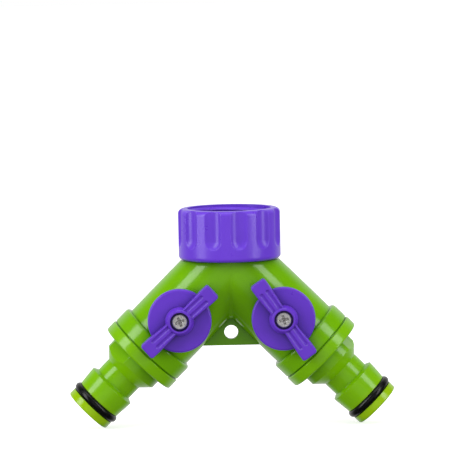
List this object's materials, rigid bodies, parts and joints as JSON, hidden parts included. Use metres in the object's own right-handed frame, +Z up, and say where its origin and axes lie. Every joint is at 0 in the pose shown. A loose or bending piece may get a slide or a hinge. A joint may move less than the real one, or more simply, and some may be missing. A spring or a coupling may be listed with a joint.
{
  "type": "hose splitter",
  "caption": "Y-shaped garden hose splitter with a swivel tap nut on top and a quarter-turn valve in each leg, ending in quick-connect tails.",
  "frame": {"origin": "on the inlet axis at the top face of the washer, where the tap's end stops", "axes": "+Z up the inlet towards the tap, +X towards the right leg, -Y towards the valve knobs"},
  "size_m": [0.1026, 0.035, 0.0691],
  "materials": {
    "housing_plastic": "glossy moulded",
    "accent_plastic": "satin moulded",
    "seal_rubber": "smooth",
    "washer_rubber": "matt",
    "screw_steel": "nickel plated",
    "ball_chrome": "polished",
    "seat_plastic": "smooth",
    "stem_plastic": "smooth"
  },
  "bodies": {
    "housing": {"y_body": "housing_plastic", "inlet_washer": "washer_rubber", "left_tail": "housing_plastic", "left_tail_o_ring": "seal_rubber", "left_spigot_seal": "seal_rubber", "left_inner_seat": "seat_plastic", "left_outer_seat": "seat_plastic", "right_tail": "housing_plastic", "right_tail_o_ring": "seal_rubber", "right_spigot_seal": "seal_rubber", "right_inner_seat": "seat_plastic", "right_outer_seat": "seat_plastic"},
    "swivel_nut": {"tap_nut": "accent_plastic"},
    "left_valve": {"left_knob": "accent_plastic", "left_knob_screw": "screw_steel", "left_stem": "stem_plastic", "left_stem_o_ring": "seal_rubber", "left_ball": "ball_chrome"},
    "right_valve": {"right_knob": "accent_plastic", "right_knob_screw": "screw_steel", "right_stem": "stem_plastic", "right_stem_o_ring": "seal_rubber", "right_ball": "ball_chrome"}
  },
  "joints": [
    {"name": "nut_swivel", "type": "hinge", "parent": "housing", "child": "swivel_nut", "pos_m": [0, 0, 0], "axis": [0, 0, 1], "continuous": true},
    {"name": "left_valve_turn", "type": "hinge", "parent": "housing", "child": "left_valve", "pos_m": [-0.01626, 0, -0.02551], "axis": [0, 1, 0], "range_deg": [-3.3, 86.7]},
    {"name": "right_valve_turn", "type": "hinge", "parent": "housing", "child": "right_valve", "pos_m": [0.01626, 0, -0.02551], "axis": [0, 1, 0], "range_deg": [-10, 80]}
  ]
}
